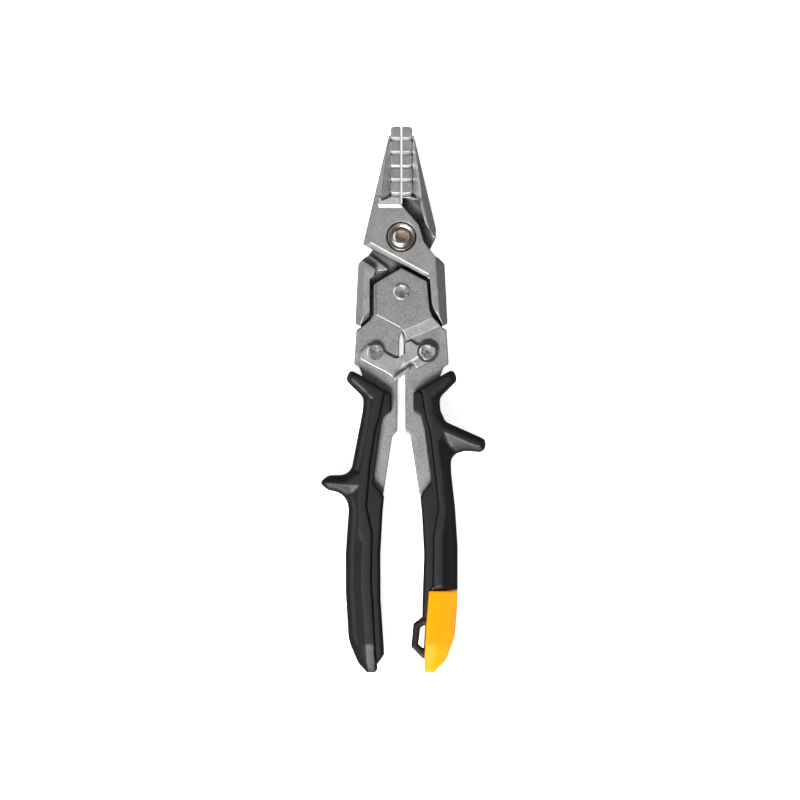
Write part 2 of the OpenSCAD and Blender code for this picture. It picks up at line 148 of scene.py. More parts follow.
def inside(points, loop):
    """Which of the points are inside a closed loop."""
    x, y = points[:, 0], points[:, 1]
    hit = np.zeros(len(points), bool)
    n = len(loop)
    for i in range(n):
        x0, y0 = loop[i]
        x1, y1 = loop[(i + 1) % n]
        if y0 != y1:
            hit ^= ((y0 > y) != (y1 > y)) & (x < (x1 - x0) * (y - y0) / (y1 - y0) + x0)
    return hit


def beside(line, gaps, loop, clear):
    """Rows along a line at each gap inside it, kept where they are in the loop and clear of its edge."""
    normals = inward(line)
    rows = [line + normals * gap for gap in gaps]
    return [row[(to_loop(row, loop)[0] > clear) & inside(row, loop)] for row in rows]


def eased(d, w):
    """A slope that starts softly over the width w."""
    d = np.maximum(d, 0)
    return np.where(d < w, d * d / (2 * w), d - w / 2)


def rolled(d, width):
    """How far a rounded edge of that width has dropped at a distance d from it: 1 at the edge, 0 past it."""
    k = np.clip(1 - d / np.maximum(width, 1e-6), 0, 1)
    return 1 - np.sqrt(np.maximum(0, 1 - k * k))


class Cloud:
    """Points that keep their distance from each other; a grid of cells finds the near ones."""

    CELL = 0.6

    def __init__(self):
        self.points = []
        self.cells = {}

    def cell(self, p):
        return int(p[0] // self.CELL), int(p[1] // self.CELL)

    def crowded(self, p, gap):
        cx, cy = self.cell(p)
        reach = int(gap // self.CELL) + 1
        for ix in range(cx - reach, cx + reach + 1):
            for iy in range(cy - reach, cy + reach + 1):
                for q in self.cells.get((ix, iy), ()):
                    if (q[0] - p[0]) ** 2 + (q[1] - p[1]) ** 2 < gap * gap:
                        return True
        return False

    def add(self, group, gap=0.0):
        for p in group:
            if gap and self.crowded(p, gap):
                continue
            self.cells.setdefault(self.cell(p), []).append(p)
            self.points.append(p)


def triangulated(points, outlines):
    """Triangles inside the first outline and outside the others.

    outlines: for each, the index of its first point and the outline itself.
    Returns the points, the triangles, and a table from the given indexes to the new ones.
    """
    edges = [(first + i, first + (i + 1) % len(loop)) for first, loop in outlines for i in range(len(loop))]
    flat, _, tris, sources, _, _ = geometry.delaunay_2d_cdt([Vector(p) for p in points], edges, [], 1, 1e-5)
    flat = np.array([tuple(v) for v in flat])
    middles = np.array([flat[list(tri)].mean(0) for tri in tris])
    keep = inside(middles, outlines[0][1])
    for _, hole in outlines[1:]:
        keep &= ~inside(middles, hole)
    tris = [tuple(tri) for tri, kept in zip(tris, keep) if kept]
    moved_to = {old: new for new, olds in enumerate(sources) for old in olds}
    return flat, tris, moved_to


# ---------------------------------------------------------------- moulded pieces

# how finely a moulded piece is sampled, in millimetres
OUTLINE_STEP = 0.9
LINE_STEP = 0.7
SEAM_STEP = 0.6
FIELD_STEP = 1.5
# the rows of points across the rounded rim, as shares of its width
RIM_ROWS = (0.06, 0.18, 0.36, 0.58, 0.8, 1.0)
# how steeply the facets fall away, the width over which they start to, and how deep they may go
FACET_SLOPE = 0.52
RIDGE = 0.55
DEEPEST = 6.0
# the rounded edge of a hole
HOLE_RIM = 0.9
# the parting line: how deep it is, and half its height as a share of the wall
PARTING = 0.18
PARTING_HALF = 0.03
# the least thickness of half a piece
THINNEST = 0.8


def outline_of(corners, shy):
    """A moulded piece's outline in even steps, and the width of its rounded rim along it."""
    loop, rim = resample(*rounded(corners), OUTLINE_STEP)
    for _ in range(3):
        rim = (np.roll(rim, 1) + 2 * rim + np.roll(rim, -1)) / 4
    narrow = np.clip((1.25 - rim) / 0.25, 0, 1)
    return loop + inward(loop) * (narrow * shy)[:, None], rim


def sampled(loop, rim, hole, seams, flat):
    """The points that a moulded piece's surface is built on; the outline's own points come first."""
    cloud = Cloud()
    cloud.add(loop)
    normals = inward(loop)
    rows = []
    for share in RIM_ROWS:
        row = loop + normals * (rim * share)[:, None]
        clear = to_loop(row, loop)[0] > rim * share * 0.97
        rows.append(row[clear & inside(row, loop)])
    if hole is not None:
        rows += beside(hole, (-0.08, -0.25, -0.5, -HOLE_RIM), loop, 0.2)
    for seam in seams:
        rows += beside(resample(*rounded(seam), SEAM_STEP)[0], (-0.04, 0.12, 0.3, 0.9), loop, 0.08)
    for row in rows:
        cloud.add(row, 0.05)
    if flat is not None:
        # rows that keep the ridges crisp
        for row in beside(stepped(flat, LINE_STEP), (0.02, -RIDGE * 0.5, -RIDGE), loop, 0.12):
            cloud.add(row, 0.22)
    # a staggered field for the rest
    lo, hi = loop.min(0), loop.max(0)
    gx, gy = np.meshgrid(np.arange(lo[0], hi[0], FIELD_STEP), np.arange(lo[1], hi[1], FIELD_STEP))
    gx, gy = gx.ravel(), gy.ravel()
    field = np.stack([gx + (np.round(gy / FIELD_STEP) % 2) * FIELD_STEP / 2, gy], 1)
    cloud.add(field[inside(field, loop) & (to_loop(field, loop)[0] > 0.12)], FIELD_STEP / 2)
    if hole is None:
        return cloud.points
    rest = np.array(cloud.points[len(loop):])
    clear = ~inside(rest, hole) & (to_loop(rest, hole)[0] > 0.05)
    return cloud.points[:len(loop)] + list(rest[clear])


def moulded(name, corners, face, flat=None, end=None, hole=None, deep=1.2, low=None, shy=0.0, seams=()):
    """A moulded piece, the same on both faces: a level strip, facets that slope away, and a rounded rim.

    corners: outline [x, y, corner radius, rim width]; face: the level of the strip;
    flat: the strip that stays level, or None where all of it does;
    end: (y, slope) where the strip begins to fall away towards the heel; hole: an opening [x, y, radius, 0];
    deep: how deep the rim is for its width; low: caps the height;
    shy: how far the outline stands back where its rim is narrow, which leaves a fine gap there;
    seams: outlines of the pieces that cover this one, where its surface turns down.
    """
    loop, rim = outline_of(corners, shy)
    if flat is not None:
        flat = np.array(flat, float)
    if hole is not None:
        hole = stepped(rounded(hole, 4)[0], LINE_STEP)

    def height(p):
        d, i, t = to_loop(p, loop)
        r = rim[i] * (1 - t) + rim[(i + 1) % len(rim)] * t
        drop = deep * r * rolled(d, r)
        z = face - drop
        if flat is not None:
            beyond = np.where(inside(p, flat), 0, to_loop(p, flat)[0])
            z = z - np.minimum(FACET_SLOPE * eased(beyond, RIDGE), DEEPEST)
        if end:
            z = z - end[1] * eased(end[0] - p[:, 1], 0.9)
        if low is not None:
            z = np.minimum(z, low(p) - drop)
        if hole is not None:
            z = z - rolled(to_loop(p, hole)[0], HOLE_RIM)
        return np.maximum(z, MID + THINNEST)

    points = sampled(loop, rim, hole, seams, flat)
    outlines = [(0, loop)]
    if hole is not None:
        outlines.append((len(points), hole))
        points.extend(hole)
    plan, tris, moved_to = triangulated(points, outlines)
    z = height(plan)
    n = len(plan)
    verts = [(x, y, h) for (x, y), h in zip(plan, z)]
    verts += [(x, y, 2 * MID - h) for (x, y), h in zip(plan, z)]
    faces = []
    for a, b, c in tris:
        p, q, r = plan[a], plan[b], plan[c]
        if (q[0] - p[0]) * (r[1] - p[1]) - (q[1] - p[1]) * (r[0] - p[0]) < 0:
            b, c = c, b
        faces.append((a, b, c))
        faces.append((a + n, c + n, b + n))
    # the side walls, with a fine parting line half way
    for first, line in outlines:
        top = [moved_to[first + i] for i in range(len(line))]
        normals = inward(line)
        rings = [top]
        for share, inset in ((0.5 - PARTING_HALF, 0.0), (0.5, PARTING), (0.5 + PARTING_HALF, 0.0)):
            ring = []
            for i, normal in zip(top, normals):
                ring.append(len(verts))
                verts.append((plan[i][0] + normal[0] * inset, plan[i][1] + normal[1] * inset,
                              z[i] * (1 - share) + (2 * MID - z[i]) * share))
            rings.append(ring)
        rings.append([i + n for i in top])
        m = len(top)
        for up, down in zip(rings, rings[1:]):
            faces += [(up[k], down[k], down[(k + 1) % m], up[(k + 1) % m]) for k in range(m)]
    obj = new_object(name, [((x + AXIS_X) * MM, y * MM, h * MM) for x, y, h in verts], faces)
    tidy(obj)
    return obj


def new_object(name, verts, faces):
    mesh = bpy.data.meshes.new(name)
    mesh.from_pydata(verts, [], faces)
    mesh.validate()
    mesh.update()
    obj = bpy.data.objects.new(name, mesh)
    scene.collection.objects.link(obj)
    return obj


def tidy(obj, angle=38):
    """Faces outwards, smooth, with sharp edges above the angle."""
    bpy.context.view_layer.objects.active = obj
    for o in bpy.context.selected_objects:
        o.select_set(False)
    obj.select_set(True)
    bpy.ops.object.mode_set(mode="EDIT")
    bpy.ops.mesh.select_all(action="SELECT")
    bpy.ops.mesh.normals_make_consistent(inside=False)
    bpy.ops.object.mode_set(mode="OBJECT")
    bpy.ops.object.shade_smooth_by_angle(angle=math.radians(angle))
    obj.select_set(False)


# ---------------------------------------------------------------- shader helpers

WHITE = (1.0, 1.0, 1.0)
# the colour sockets of a Mix node, which has others of the same names for other types
MIX_A, MIX_B, MIX_RESULT = 6, 7, 2


def base_material(name, colour, metallic, rough):
    m = bpy.data.materials.new(name)
    m.use_nodes = True
    nt = m.node_tree
    bsdf = nt.nodes["Principled BSDF"]
    bsdf.inputs["Base Color"].default_value = (*colour, 1)
    bsdf.inputs["Metallic"].default_value = metallic
    bsdf.inputs["Roughness"].default_value = rough
    return m, nt, bsdf


def node(nt, kind, **values):
    """A new node; each value goes to the input of that name, or else to the node's own setting."""
    n = nt.nodes.new(kind)
    for key, value in values.items():
        if key in n.inputs.keys():
            n.inputs[key].default_value = value
        else:
            setattr(n, key, value)
    return n


def noise(nt, vector, scale, detail=3.0, rough=0.55):
    n = node(nt, "ShaderNodeTexNoise", Scale=scale, Detail=detail, Roughness=rough)
    nt.links.new(vector, n.inputs["Vector"])
    return n.outputs["Fac"]


def ramp(nt, fac, low, high, low_colour, high_colour):
    """One colour below low, the other above high, blended between."""
    r = nt.nodes.new("ShaderNodeValToRGB")
    for element, place, colour in zip(r.color_ramp.elements, (low, high), (low_colour, high_colour)):
        element.position = place
        element.color = (*colour, 1)
    nt.links.new(fac, r.inputs["Fac"])
    return r.outputs["Color"]


def mapped(nt, value, from_low, from_high, to_low, to_high):
    limits = {"From Min": from_low, "From Max": from_high, "To Min": to_low, "To Max": to_high}
    n = node(nt, "ShaderNodeMapRange", **limits)
    nt.links.new(value, n.inputs["Value"])
    return n.outputs["Result"]


def spread(nt, fac, low, high):
    """The middle of a noise, stretched from low to high."""
    return mapped(nt, fac, 0.3, 0.7, low, high)


def bump(nt, height, distance, strength, under=None):
    b = node(nt, "ShaderNodeBump", Strength=strength, Distance=distance)
    nt.links.new(height, b.inputs["Height"])
    if under is not None:
        nt.links.new(under, b.inputs["Normal"])
    return b.outputs["Normal"]


def calc(nt, kind, a, b=0.0):
    """Arithmetic on sockets and numbers."""
    n = node(nt, "ShaderNodeMath", operation=kind)
    for socket, value in zip(n.inputs, (a, b)):
        if isinstance(value, (int, float)):
            socket.default_value = value
        else:
            nt.links.new(value, socket)
    return n.outputs[0]


def mixed(nt, a, b, blend="MULTIPLY", share=None):
    """Two colours multiplied, or mixed by a share that comes from a socket."""
    m = node(nt, "ShaderNodeMix", data_type="RGBA", blend_type=blend)
    m.inputs["Factor"].default_value = 1.0
    if share is not None:
        nt.links.new(share, m.inputs["Factor"])
    nt.links.new(a, m.inputs[MIX_A])
    nt.links.new(b, m.inputs[MIX_B])
    return m.outputs[MIX_RESULT]


def object_coords(nt):
    return nt.nodes.new("ShaderNodeTexCoord").outputs["Object"]


def warmed(value, warm):
    """A grey with a little less green, and less blue still."""
    return (value, value * (1 - warm), value * (1 - 2 * warm))


# ---------------------------------------------------------------- materials

# where the jaws are made brighter, in metres: a wedge round the centre line, from the heel to the tip; partly
# a machining finish, partly a painted highlight on the grooves and flanks
HIGHLIGHT_CUT_TIP_Y = 0.1215
HIGHLIGHT_CUT_TIP_HALF = 0.0061
HIGHLIGHT_CUT_HEEL_Y = 0.0942
HIGHLIGHT_CUT_HEEL_HALF = 0.0094
# only the steel this far down is brightened, so the lands' top faces stay as forged and the grooves and
# flanks are bright: a machining finish with a painted highlight in it
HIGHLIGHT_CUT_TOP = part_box("front_jaw")[1].z - 0.0002
# how far the side walls of the lands are from the centre line, and half the width kept as forged there
WALL_X = 0.005
WALL_HALF = 0.00045
# the black of the painted shade in deep corners
PAINTED_SHADE_BLACK = (0.08, 0.075, 0.07)


def machined_highlight_share(nt, at):
    """1 where the jaws are brightened, 0 elsewhere: partly a machining finish, partly a painted highlight."""
    xyz = node(nt, "ShaderNodeSeparateXYZ")
    nt.links.new(at, xyz.inputs["Vector"])
    across = calc(nt, "ABSOLUTE", calc(nt, "SUBTRACT", xyz.outputs["X"], AXIS_X * MM))
    taper = (HIGHLIGHT_CUT_TIP_HALF - HIGHLIGHT_CUT_HEEL_HALF) / (HIGHLIGHT_CUT_TIP_Y - HIGHLIGHT_CUT_HEEL_Y)
    along = calc(nt, "SUBTRACT", xyz.outputs["Y"], HIGHLIGHT_CUT_HEEL_Y)
    half = calc(nt, "ADD", calc(nt, "MULTIPLY", along, taper), HIGHLIGHT_CUT_HEEL_HALF)
    share = calc(nt, "LESS_THAN", across, half)
    share = calc(nt, "MULTIPLY", share, calc(nt, "GREATER_THAN", xyz.outputs["Y"], HIGHLIGHT_CUT_HEEL_Y))
    share = calc(nt, "MULTIPLY", share, calc(nt, "LESS_THAN", xyz.outputs["Z"], HIGHLIGHT_CUT_TOP))
    from_wall = calc(nt, "ABSOLUTE", calc(nt, "SUBTRACT", across, WALL_X))
    return calc(nt, "MULTIPLY", share, calc(nt, "GREATER_THAN", from_wall, WALL_HALF))


def make_blasted(name, tone, warm, grain, rough, corner=0.0018, painted_shade_range=(0.33, 0.68), machined_and_highlight=False):
    """Bead-blasted forged or stamped steel: grey and finely pitted, with painted shade that turns it black in
    the deep corners.

    corner: how far the painted shade reaches out of a corner, in metres;
    painted_shade_range: how open the surface is where the painted shade is fully black, and where there is
    none;
    machined_and_highlight: the grooves across the jaws' lands and the low faces beside them are brightened;
    partly a machining finish, partly a painted highlight.
    """
    m, nt, bsdf = base_material(name, (tone, tone, tone), 0.95, rough)
    at = object_coords(nt)
    fine = noise(nt, at, 1300, 3.0, 0.7)
    coarse = noise(nt, at, 190, 4.0, 0.6)
    dark, light = tone * (1 - 0.26 * grain), tone * (1 + 0.24 * grain)
    speckle = ramp(nt, fine, 0.3, 0.7, warmed(dark, warm), (light, light, light * (1 - warm)))
    cloud = ramp(nt, coarse, 0.32, 0.68, (0.94, 0.935, 0.925), WHITE)
    steel = mixed(nt, speckle, cloud)
    # painted shade: the colour goes to black where ambient occlusion finds other surfaces close by, in the
    # deep corners
    painted_shade_ao = node(nt, "ShaderNodeAmbientOcclusion", samples=8, Distance=corner)
    steel = mixed(nt, steel, ramp(nt, painted_shade_ao.outputs["AO"], *painted_shade_range, PAINTED_SHADE_BLACK, WHITE))
    # painted highlight and machining finish: the low steel round the jaws' lands is made much brighter
    if machined_and_highlight:
        machined_highlight_colour = ramp(nt, coarse, 0.3, 0.7, (tone * 1.75,) * 3, (tone * 2.0,) * 3)
        steel = mixed(nt, steel, machined_highlight_colour, "MIX", machined_highlight_share(nt, at))
    nt.links.new(steel, bsdf.inputs["Base Color"])
    nt.links.new(spread(nt, coarse, rough * 0.92, rough * 1.1), bsdf.inputs["Roughness"])
    waves = bump(nt, noise(nt, at, 420, 3.0, 0.5), 0.00005, 0.5)
    pits = bump(nt, noise(nt, at, 3300, 2.0, 0.7), 0.00004 * grain, 0.8, waves)
    nt.links.new(pits, bsdf.inputs["Normal"])
    return m


def make_bright(name, tone, rough, warm=0.02, stained=0.14, cloudy=600, turned_at=None, middle=None):
    """Plated and polished steel with faint marks.

    stained: how much darker the marks are; cloudy: how fine they are;
    turned_at: an axis (x, y) with fine turning rings round it;
    middle: (radius, colour) of what is inside that radius of the axis, such as a key socket.
    """
    m, nt, bsdf = base_material(name, warmed(tone, warm), 1.0, rough)
    at = object_coords(nt)
    smear = noise(nt, at, cloudy, 4.0, 0.6)
    colour = ramp(nt, smear, 0.3, 0.7, warmed(tone * (1 - stained), warm), warmed(tone * 1.05, warm))
    nt.links.new(spread(nt, smear, rough * 0.8, rough * 1.3), bsdf.inputs["Roughness"])
    if turned_at is None:
        surface = bump(nt, noise(nt, at, 1500, 2.0, 0.6), 0.00002, 0.5)
    else:
        from_axis = node(nt, "ShaderNodeMapping", Location=(-turned_at[0], -turned_at[1], 0), Scale=(1, 1, 0))
        nt.links.new(at, from_axis.inputs["Vector"])
        rings = node(nt, "ShaderNodeTexWave", wave_type="RINGS", rings_direction="SPHERICAL",
                     Scale=560.0, Distortion=0.4, Detail=2.0)
        nt.links.new(from_axis.outputs["Vector"], rings.inputs["Vector"])
        surface = bump(nt, rings.outputs["Fac"], 0.000012, 0.3)
        if middle:
            radius, tint = middle
            reach = node(nt, "ShaderNodeVectorMath", operation="LENGTH")
            nt.links.new(from_axis.outputs["Vector"], reach.inputs[0])
            tinted = ramp(nt, reach.outputs["Value"], radius * 0.93, radius * 1.02, tint, WHITE)
            colour = mixed(nt, colour, tinted)
    nt.links.new(surface, bsdf.inputs["Normal"])
    nt.links.new(colour, bsdf.inputs["Base Color"])
    return m


def make_plastic(name, colour, rough, grain, mottled=0.12, shine=0.5):
    """Moulded plastic with a fine spark-eroded texture; grain: how deep it is, in metres."""
    m, nt, bsdf = base_material(name, colour, 0.0, rough)
    at = object_coords(nt)
    dark = tuple(c * (1 - mottled) for c in colour)
    light = tuple(min(1.0, c * (1 + mottled)) for c in colour)
    nt.links.new(ramp(nt, noise(nt, at, 260, 4.0, 0.6), 0.3, 0.7, dark, light), bsdf.inputs["Base Color"])
    worn = spread(nt, noise(nt, at, 900, 3.0, 0.6), rough * 0.9, min(1, rough * 1.1))
    nt.links.new(worn, bsdf.inputs["Roughness"])
    nt.links.new(bump(nt, noise(nt, at, 1500, 3.0, 0.8), grain, 0.8), bsdf.inputs["Normal"])
    bsdf.inputs["Specular IOR Level"].default_value = shine
    return m


# the key socket of the bolt and the dish of a rivet's head: their radius in metres, and their tints
SOCKET_R = 0.0026
SOCKET_TINT = (1.0, 0.72, 0.52)
DISH_R = 0.0026
DISH_TINT = (0.58, 0.58, 0.6)

# each steel below has painted shade in its deep corners; corner and the range after it set how far it reaches
# and how dark it gets
forged = make_blasted("forged_jaw_steel", tone=0.41, warm=0.012, grain=1.0, rough=0.45,
                      corner=0.005, painted_shade_range=(0.4, 0.76), machined_and_highlight=True)
stamped = make_blasted("stamped_plate_steel", tone=0.37, warm=0.01, grain=1.2, rough=0.44)
latch_steel = make_blasted("satin_latch_steel", tone=0.56, warm=0.004, grain=0.55, rough=0.4,
                           painted_shade_range=(0.1, 0.45))
rivet_steel = make_bright("bright_rivet_steel", tone=0.72, rough=0.36, warm=0.005, stained=0.6)
bush_steel = make_bright("bright_bush_steel", tone=0.58, rough=0.3)
# the arrow's steel is the latch's own, made far lighter than it: a painted highlight
arrow_painted_highlight_steel = make_bright("arrow_painted_highlight_steel", tone=0.95, rough=0.62, warm=0.004)
washer_nickel = make_bright("polished_nickel", tone=0.62, rough=0.25, warm=0.055, stained=0.3, cloudy=160,
                            turned_at=PIVOT)
bolt_steel = make_bright("polished_bolt", tone=0.8, rough=0.28, warm=0.05, stained=0.1, cloudy=160,
                         turned_at=PIVOT, middle=(SOCKET_R, SOCKET_TINT))
black_steel = make_plastic("black_oxide_steel", (0.03, 0.03, 0.03), rough=0.4, grain=0.00001)
core_plastic = make_plastic("core_plastic", (0.0035, 0.003, 0.0028), rough=0.44, grain=0.00006,
                            mottled=0.25, shine=0.4)
grip_plastic = make_plastic("grip_plastic", (0.0035, 0.0035, 0.004), rough=0.42, grain=0.00004,
                            mottled=0.12, shine=0.46)
yellow_plastic = make_plastic("yellow_plastic", (0.86, 0.255, 0.0), rough=0.36, grain=0.000012,
                              mottled=0.03, shine=0.12)


# ---------------------------------------------------------------- metal nodes

# the share of a rebuilt surface's triangles that is kept
KEPT_TRIANGLES = 0.22


def finish_node(name, material, grain=0.0, passes=3):
    """Gives a metal node its material, and rounds its edges as a forging's or a stamping's are.

    grain: the size of the cells that the surface is rebuilt from, in millimetres; 0 leaves it as it is.
    """
    o = nodes[name]
    o.data.materials.clear()
    o.data.materials.append(material)
    if not grain:
        return
    cells = o.modifiers.new("cells", "REMESH")
    cells.mode = "VOXEL"
    cells.voxel_size = grain * MM
    cells.adaptivity = 0
    cells.use_smooth_shade = True
    soft = o.modifiers.new("soft", "SMOOTH")
    soft.factor = 0.5
    soft.iterations = passes
    fewer = o.modifiers.new("fewer", "DECIMATE")
    fewer.ratio = KEPT_TRIANGLES
    shade = o.modifiers.new("shade", "WEIGHTED_NORMAL")
    shade.keep_sharp = False


finish_node("front_jaw", forged, 0.25)
finish_node("rear_jaw", forged, 0.25)
for side in ("left", "right"):
    finish_node(side + "_handle_front_plate", stamped, 0.22)
    finish_node(side + "_handle_back_plate", stamped, 0.22)
finish_node("latch_plate", latch_steel, 0.16, 2)
for rivet in ("left_link_rivet", "right_link_rivet", "centre_rivet"):
    dished = make_bright(rivet + "_steel", tone=0.92, rough=0.34, warm=0.005, stained=0.6, cloudy=700,
                         turned_at=middle_of(rivet), middle=(DISH_R, DISH_TINT))
    finish_node(rivet, dished)
finish_node("pivot_back_washer", rivet_steel)
finish_node("pivot_washer", washer_nickel)
finish_node("pivot_bolt", bolt_steel)
finish_node("pivot_bush", bush_steel)
finish_node("pivot_nut", rivet_steel, 0.2)
finish_node("latch_wave_washer", bush_steel)
finish_node("latch_keeper_washer", black_steel)
finish_node("return_spring", black_steel)


# ---------------------------------------------------------------- grips, cores and end cap

LEFT_GRIP = [
    [-7.4, 4, 0.5, 1.2], [-19.2, 11.6, 0.3, 1.5], [-23.9, 14, 1.8, 2.6], [-26, 9.2, 3, 3.2],
    [-17.6, 1, 5, 3.6], [-18, -5, 8, 4], [-22.2, -27, 10, 4.2], [-23.6, -35, 6, 3.6],
    [-34, -35.2, 5, 3.2], [-38.4, -38.6, 1.6, 3], [-34, -42, 4, 3.2], [-25, -44, 8, 4],
    [-24.6, -52, 10, 4.4], [-26, -72, 40, 4.4], [-25.9, -90, 60, 4.4], [-24.6, -112, 20, 4.4],
    [-20.2, -122.5, 8, 3.4], [-16, -127, 1, 2], [-11, -127, 2, 1.6], [-11.8, -117, 0, 0.9],
    [-12.5, -104.7, 0, 0.9], [-13.8, -83, 40, 0.9], [-13.3, -62, 10, 0.9],
    [-16, -49.5, 4, 0.9], [-14.7, -34.9, 0, 0.9], [-14.3, -30, 20, 0.9],
    [-11.8, -14, 0, 0.9], [-9.6, -7, 10, 0.9]]
LEFT_FLAT = [
    [-4, 6], [-10, 22], [-34, 22], [-29, 10], [-22.6, 6.5], [-12.6, 0.9], [-14, -4],
    [-15.8, -16], [-17.6, -28], [-18.8, -34.6], [-33, -36.8], [-36.4, -38.2], [-34.7, -39.3],
    [-19.6, -39.6], [-19.6, -60.6], [-17.8, -65.6], [-18.4, -76], [-18.3, -86.3],
    [-17.3, -98.8], [-16.3, -113.7], [-15.3, -131], [-4, -131]]

RIGHT_GRIP = [
    [8, 4.6, 0.5, 1.2], [19.4, 11.7, 0.3, 1.5], [24, 14.2, 1.8, 2.6], [26.2, 9.2, 3, 3.2],
    [17.8, 1, 5, 3.6], [18.2, -5, 8, 3.6], [20.6, -10.2, 4, 3], [39.2, -18.5, 2.6, 2.6],
    [39, -24.6, 3, 2.6], [29.8, -23.8, 5, 3], [23, -25.6, 5, 4], [23.2, -34, 20, 4.2],
    [25, -50, 40, 4.4], [26.2, -68, 20, 4.4], [26.2, -88.6, 0, 4.4], [12.9, -88.6, 0, 0.9],
    [14.5, -86.5, 2, 0.9], [14.8, -62.7, 10, 0.9], [17.1, -49.5, 3, 0.9],
    [15.1, -30.4, 20, 0.9], [13, -14, 10, 0.9], [11.2, -8.5, 10, 0.9], [9.2, 3.4, 0.5, 0.9]]
RIGHT_FLAT = [
    [4, 6], [4, -95], [18.8, -95], [18.8, -86.5], [19, -62.7], [20.7, -51.3], [20.8, -46.7],
    [18.4, -30.4], [17, -19], [19.7, -14.6], [34.6, -21.1], [38.4, -21.6], [48, -22],
    [48, -8], [15.4, -8], [13.6, 1.6], [22.8, 6.8], [29, 10], [34, 22], [10, 22]]

RIGHT_CAP = [
    [12.9, -88.9, 0.4, 0.6], [26.2, -88.9, 0.6, 1.4], [26, -96, 0, 4.4], [25, -110, 20, 4.4],
    [20.8, -121.4, 8, 3.4], [15.2, -127, 1, 2], [10.8, -126.9, 0.6, 1.2],
    [10.7, -120.8, 0, 1.2], [11.6, -104.7, 10, 1.2]]
CAP_FLAT = [[4, -80], [19, -80], [19, -88.6], [16, -116.5], [14.2, -126.3], [13.5, -131], [4, -131]]

LEFT_CORE = [
    [-7.4, 4, 0, 0.8], [-4.9, 3.2, 0.5, 0.8], [-4.6, -5.2, 1.5, 0.8], [-8.8, -8.4, 1, 0.8],
    [-9.9, -14, 0, 0.5], [-13.3, -38.8, 0.5, 0.5], [-8, -45, 0.6, 1.2], [-8.7, -52, 8, 1.6],
    [-9.8, -72, 40, 1.6], [-9.7, -93, 20, 1.6], [-8, -118.5, 0.8, 1.6], [-11.2, -123, 0, 1.2],
    [-16, -123, 2, 0.8], [-18.5, -100, 0, 0.8], [-18.8, -40, 0, 0.8], [-16.2, -12, 0, 0.8],
    [-16.2, 0, 2, 0.8]]
RIGHT_CORE = [
    [9.2, 3.4, 0, 0.8], [8, 4.6, 0.3, 0.8], [5.6, 3, 0.6, 0.8], [5.7, -5.2, 1.5, 0.8],
    [9.3, -7.8, 1, 0.8], [10.8, -14, 0, 0.5], [14, -38.4, 0.5, 0.5], [10.4, -42.6, 0.6, 0.9],
    [8.8, -45, 0.6, 1.2], [9.5, -52, 8, 1.6], [10.6, -72, 40, 1.6], [10, -90, 20, 1.6],
    [9.8, -101.3, 0, 1.2], [5.6, -104.4, 1, 1], [4.6, -115, 1.2, 1], [9.8, -120.4, 0.5, 1],
    [14, -121, 0, 0.8], [17, -112, 0, 0.8], [18.6, -100, 0, 0.8], [18.8, -40, 0, 0.8],
    [16.2, -12, 0, 0.8], [16.2, 0, 2, 0.8]]
LOOP_HOLE = [[11.4, -104.4, 0.6, 0], [8.6, -106.2, 0.8, 0], [7.7, -113.9, 0.8, 0], [10.6, -116.3, 0.6, 0]]

# where the heel ends of the grips and of the cap begin to fall away, and how steeply
HEEL_END = (-113.7, 0.36)
# the gap between a grip and its core
SEAM_GAP = 0.3
# where the thin hanging loop begins, and over how far the core thins down to it
LOOP_Y = -101
LOOP_EASE = 1.2


def under(*covers):
    """Caps a core so that it dives under the mouldings that cover it, and thins it at the loop."""
    shapes = [resample(*rounded(c), 0.9)[0] for c in covers]

    def cap(p):
        z = np.full(len(p), CORE_TOP)
        for shape in shapes:
            d = to_loop(p, shape)[0]
            # a steep step at the seam, then a gentle slope
            dive = CORE_TOP - 16 * np.minimum(d, 0.12) - 0.6 * np.minimum(d, 0.9)
            z = np.where(inside(p, shape), np.minimum(z, dive), z)
        thin = (p[:, 0] > 0) & (p[:, 1] < LOOP_Y)
        ease = np.clip((LOOP_Y - p[:, 1]) / LOOP_EASE, 0, 1)
        return np.where(thin, np.minimum(z, CORE_TOP + (LOOP_TOP - CORE_TOP) * ease), z)

    return cap


left_grip = moulded("left_soft_grip", LEFT_GRIP, TOP, LEFT_FLAT, end=HEEL_END, shy=SEAM_GAP)
right_grip = moulded("right_soft_grip", RIGHT_GRIP, TOP, RIGHT_FLAT, shy=SEAM_GAP)
end_cap = moulded("yellow_end_cap", RIGHT_CAP, TOP, CAP_FLAT, end=HEEL_END)
left_core = moulded("left_core", LEFT_CORE, CORE_TOP, deep=1.3, low=under(LEFT_GRIP), seams=[LEFT_GRIP])
right_core = moulded("right_core", RIGHT_CORE, CORE_TOP, deep=1.3, low=under(RIGHT_GRIP, RIGHT_CAP),
                     hole=LOOP_HOLE, seams=[RIGHT_GRIP, RIGHT_CAP])
for piece, body, cad, material, slot in (
        (left_grip, "left_handle", "left_grip", grip_plastic, "grip_plastic"),
        (right_grip, "right_handle", "right_grip", grip_plastic, "grip_plastic"),
        (end_cap, "right_handle", "right_end_cap", yellow_plastic, "yellow_plastic"),
        (left_core, "left_handle", "left_grip_core", core_plastic, "core_plastic"),
        (right_core, "right_handle", "right_grip_core", core_plastic, "core_plastic")):
    piece.data.materials.append(material)
    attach(piece, body)
    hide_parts(cad)


# ---------------------------------------------------------------- latch arrow

# the plain arrow rolled into the latch, which shows which way the thumb pushes it
ARROW = [[8.5, 19.9], [8.0, 20.8], [1.6, 17.1], [1.1, 17.8], [-1.2, 14.1], [3.0, 14.7], [2.3, 16.0]]
ARROW_STEP = 0.4
ARROW_HEIGHT = 0.2
# the width of the arrow's sloping edge, and how far its foot is sunk into the latch
ARROW_EDGE = 0.1
ARROW_SUNK = 0.05
# a spot further than this above or below the latch's face isn't on that face
FACE_REACH = 0.3


